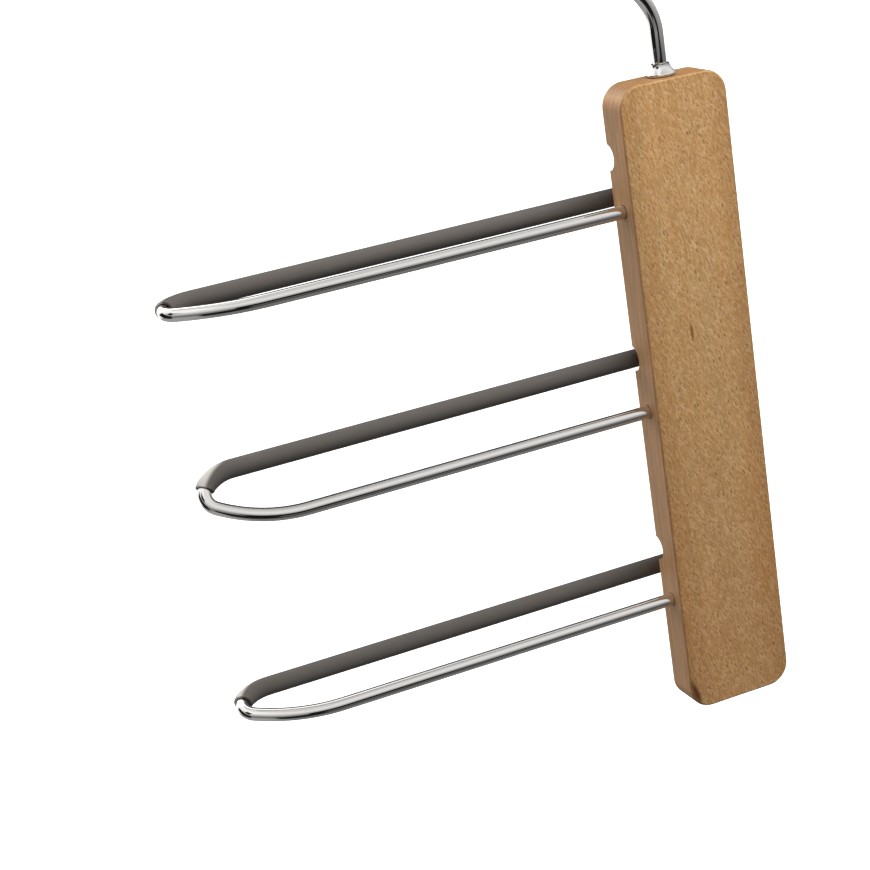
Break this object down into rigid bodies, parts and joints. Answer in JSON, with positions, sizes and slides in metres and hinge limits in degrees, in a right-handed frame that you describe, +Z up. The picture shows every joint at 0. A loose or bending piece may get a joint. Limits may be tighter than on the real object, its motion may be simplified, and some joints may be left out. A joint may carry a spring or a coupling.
{
  "type": "multi-tier trouser hanger",
  "caption": "Multi-tier trouser hanger: a beech spine board with chromed rod loops that swing and stay put, each with a grey anti-slip sleeve, hung from a swan-neck hook.",
  "frame": {"origin": "where the underside of the hook's crown rests on the wardrobe rail", "axes": "+X from the hook to the board, with the loops pointing to -X; +Y to the back, where the sleeved legs swing; +Z up"},
  "size_m": [0.349, 0.052, 0.5579],
  "materials": {
    "beech": "clear satin lacquer over steamed beech",
    "chrome": "bright chrome plate",
    "grip": "satin anti-slip sleeve",
    "cap": "matt moulded",
    "band": "matt",
    "pin": "bright drawn",
    "insert": "turned"
  },
  "bodies": {
    "board": {"spine_board": "beech", "hook": "chrome", "hook_ferrule": "chrome", "hook_insert": "insert", "retaining_pin_top": "pin", "retaining_pin_middle": "pin", "retaining_pin_bottom": "pin"},
    "top_loop": {"loop_rod_top": "chrome", "grip_sleeve_top": "grip", "sleeve_cap_top": "cap", "friction_band_top": "band"},
    "middle_loop": {"loop_rod_middle": "chrome", "grip_sleeve_middle": "grip", "sleeve_cap_middle": "cap", "friction_band_middle": "band"},
    "bottom_loop": {"loop_rod_bottom": "chrome", "grip_sleeve_bottom": "grip", "sleeve_cap_bottom": "cap", "friction_band_bottom": "band"}
  },
  "joints": [
    {"name": "top_loop_swing", "type": "hinge", "parent": "board", "child": "top_loop", "pos_m": [0.085, 0, -0.2285], "axis": [1, 0, 0], "range_deg": [-61.5, 68.5]},
    {"name": "middle_loop_swing", "type": "hinge", "parent": "board", "child": "middle_loop", "pos_m": [0.085, 0, -0.3525], "axis": [1, 0, 0], "range_deg": [-115.3, 14.7]},
    {"name": "bottom_loop_swing", "type": "hinge", "parent": "board", "child": "bottom_loop", "pos_m": [0.085, 0, -0.4765], "axis": [1, 0, 0], "range_deg": [-75.8, 54.2]}
  ]
}
